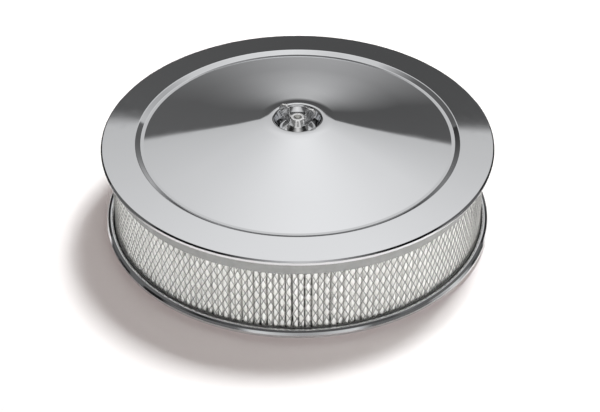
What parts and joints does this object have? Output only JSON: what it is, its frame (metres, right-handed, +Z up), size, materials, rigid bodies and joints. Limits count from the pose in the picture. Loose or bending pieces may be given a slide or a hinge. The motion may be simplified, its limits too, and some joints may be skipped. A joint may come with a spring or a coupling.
{
  "type": "carburetor air cleaner",
  "caption": "Round open-element air cleaner: chromed domed lid with wing nut, pleated paper element behind expanded metal, chromed drop base with a neck for the carburetor.",
  "frame": {"origin": "on the floor under the centre of the base", "axes": "+Z up along the stud, -Y towards the pictured front"},
  "size_m": [0.3556, 0.3556, 0.1228],
  "materials": {
    "chrome": "polished chrome plate on pressed steel",
    "galvanised": "dull galvanised expanded steel",
    "zinc": "zinc-plated steel",
    "paper": "resin-treated filter paper",
    "plastisol": "moulded grey plastisol, matte",
    "fibre": "pressed gasket fibre"
  },
  "bodies": {
    "housing": {"base": "chrome", "neck_gasket": "fibre", "bottom_seal": "plastisol", "top_seal": "plastisol", "pleated_paper": "paper", "outer_screen": "galvanised", "inner_screen": "galvanised"},
    "cover": {"lid": "chrome", "sealing_washer": "fibre"},
    "nut": {"wing_nut": "chrome"},
    "stud": {"center_stud": "zinc"}
  },
  "joints": [
    {"name": "lid_lift", "type": "slide", "parent": "housing", "child": "cover", "axis": [0, 0, 1], "range_m": [0, 0.09]},
    {"name": "wing_nut_turn", "type": "hinge", "parent": "cover", "child": "nut", "pos_m": [0, 0, 0.1006], "axis": [0, 0, 1], "range_deg": [0, 1170]},
    {"name": "stud_draw", "type": "slide", "parent": "cover", "child": "stud", "axis": [0, 0, 1], "range_m": [-0.0042, 0]}
  ],
  "couplings": [
    {"joint": "stud_draw", "follows": "wing_nut_turn", "m_per_rad": -0.00020213}
  ]
}
